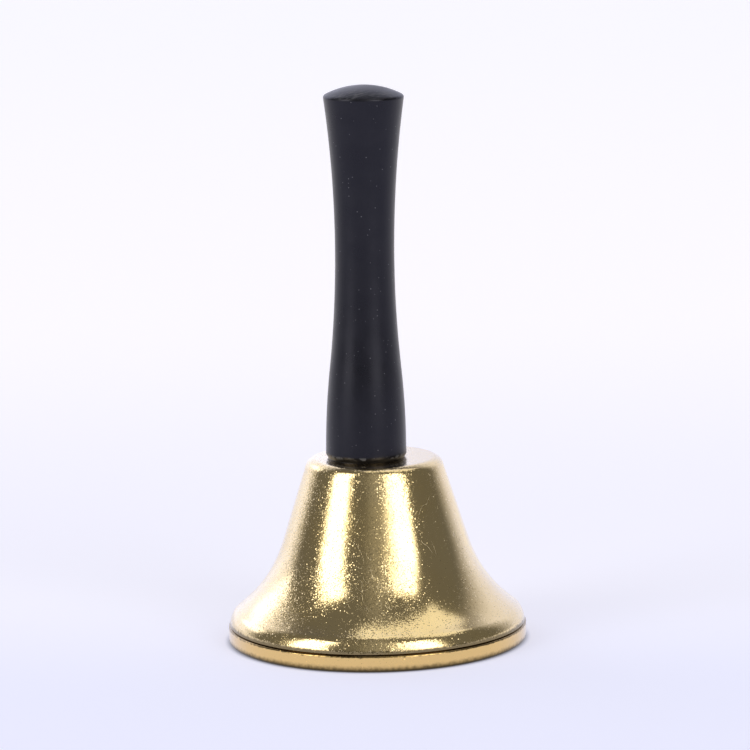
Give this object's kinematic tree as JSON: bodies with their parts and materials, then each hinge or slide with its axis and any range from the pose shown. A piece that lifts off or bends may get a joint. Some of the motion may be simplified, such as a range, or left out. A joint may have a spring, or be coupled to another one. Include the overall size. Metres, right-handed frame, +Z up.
{
  "type": "service bell",
  "caption": "Hand-held service bell: a flared metal cup with a banded rim, a turned waisted handle, and a clapper that hangs from an eye on a link.",
  "frame": {"origin": "centre of the rim, on the plane that the bell stands on", "axes": "+Z up the bell's axis to the top of the handle; the link's bottom wire, which the clapper swings on, runs along X at rest"},
  "size_m": [0.08, 0.08, 0.1492],
  "materials": {
    "bell_gold": "polished gold-coloured plating, slightly pitted",
    "handle_lacquer": "satin black lacquer",
    "insert_brass": "turned",
    "zinc_steel": "bright zinc plated",
    "clapper_brass": "turned and polished"
  },
  "bodies": {
    "bell": {"handle": "handle_lacquer", "threaded_insert": "insert_brass", "bell_cup": "bell_gold", "crown_washer": "zinc_steel", "spring_washer": "zinc_steel", "crown_nut": "zinc_steel", "eye_bolt": "zinc_steel"},
    "link": {"link_ring": "zinc_steel"},
    "clapper": {"clapper_rod": "zinc_steel", "clapper_ball": "clapper_brass", "clapper_nut": "zinc_steel"}
  },
  "joints": [
    {"name": "link_turn", "type": "hinge", "parent": "bell", "child": "link", "pos_m": [0, 0, 0.037], "axis": [0, 0, 1], "range_deg": [-35, 35]},
    {"name": "clapper_swing", "type": "hinge", "parent": "link", "child": "clapper", "pos_m": [0, 0, 0.03265], "axis": [1, 0, 0], "range_deg": [-56, 56]}
  ]
}
